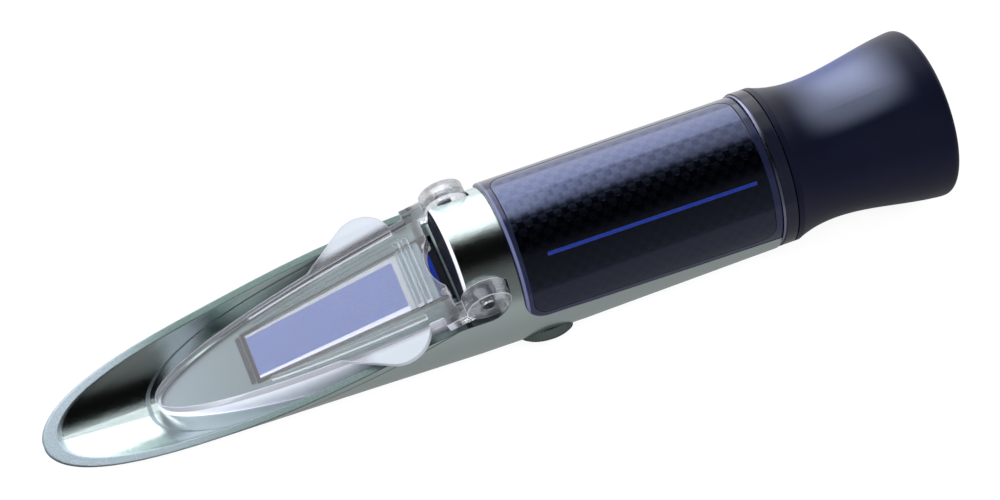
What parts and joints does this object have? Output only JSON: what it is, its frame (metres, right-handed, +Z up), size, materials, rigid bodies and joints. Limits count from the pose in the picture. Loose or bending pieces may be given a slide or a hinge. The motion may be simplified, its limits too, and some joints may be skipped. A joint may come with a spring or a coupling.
{
  "type": "handheld refractometer",
  "caption": "Handheld refractometer: open nose with a glass prism under a hinged clear plate, round barrel with a grip sleeve, adjusting knob and a turning rubber eyecup.",
  "frame": {"origin": "centre of the eyecup's mouth, where the optical axis leaves it", "axes": "+X along the optical axis from the nose to the eye, +Z up from the keel through the barrel's top"},
  "size_m": [0.1946, 0.0364, 0.0364],
  "materials": {
    "cast_metal": "satin nickel plate over a fine blasted casting, polished in the scoop",
    "clear_acrylic": "clear polished acrylic",
    "prism_glass": "polished optical glass",
    "lens_glass": "coated optical glass",
    "black_rubber": "matte soft rubber",
    "seal_rubber": "matte",
    "sleeve_plastic": "glossy navy black",
    "label_film": "glossy film with a fine square weave and one blue stripe",
    "black_metal": "gloss black over aluminium",
    "bright_trim": "polished",
    "knob_metal": "satin dark grey, anodised",
    "inner_black": "flat black against stray light",
    "brass": "turned",
    "steel": "plain",
    "mask_plastic": "flat black"
  },
  "bodies": {
    "barrel": {"body": "cast_metal", "prism": "prism_glass", "prism_seal": "seal_rubber", "prism_clamp": "inner_black", "clamp_screws": "steel", "front_mask": "mask_plastic", "hinge_pins": "black_metal", "bore_window": "lens_glass", "window_ring": "inner_black", "front_stop": "inner_black", "objective_holder": "inner_black", "knob_bush": "brass", "knob_seal": "seal_rubber", "optical_tube": "inner_black", "rear_stop": "inner_black", "scale_holder": "inner_black", "scale_glass": "lens_glass", "scale_ring": "inner_black", "lock_ring": "inner_black", "eyepiece_tube": "inner_black", "focus_seal": "seal_rubber", "grip_sleeve": "sleeve_plastic", "label_panel": "label_film", "trim_ring": "bright_trim", "end_ring": "black_metal"},
    "cover": {"daylight_plate": "clear_acrylic"},
    "focus": {"focus_ring": "black_metal", "eyecup": "black_rubber"},
    "eye_cell": {"lens_cell": "inner_black", "field_lens": "lens_glass", "eye_lens": "lens_glass", "lens_spacer": "inner_black", "cell_ring": "inner_black", "guide_pin": "steel"},
    "knob": {"adjusting_knob": "knob_metal"},
    "objective": {"objective_carrier": "brass", "objective_lens": "lens_glass", "objective_ring": "inner_black", "bimetal_strip": "steel", "strip_screws": "steel"}
  },
  "joints": [
    {"name": "plate_hinge", "type": "hinge", "parent": "barrel", "child": "cover", "pos_m": [-0.1031, 0, 0.0097], "axis": [0, 1, 0], "range_deg": [0, 120]},
    {"name": "focus_turn", "type": "hinge", "parent": "barrel", "child": "focus", "pos_m": [0, 0, 0], "axis": [1, 0, 0], "range_deg": [-90, 90]},
    {"name": "lens_slide", "type": "slide", "parent": "barrel", "child": "eye_cell", "axis": [1, 0, 0], "range_m": [-0.0015, 0.0015]},
    {"name": "knob_turn", "type": "hinge", "parent": "barrel", "child": "knob", "pos_m": [-0.09, 0, 0], "axis": [0, -0.7071, -0.7071], "range_deg": [-180, 180]},
    {"name": "carrier_slide", "type": "slide", "parent": "barrel", "child": "objective", "axis": [0, -0.7071, -0.7071], "range_m": [-0.00035, 0.00035]}
  ],
  "couplings": [
    {"joint": "lens_slide", "follows": "focus_turn", "m_per_rad": 0.00095},
    {"joint": "knob_turn", "follows": "carrier_slide", "rad_per_m": 8975.9}
  ]
}
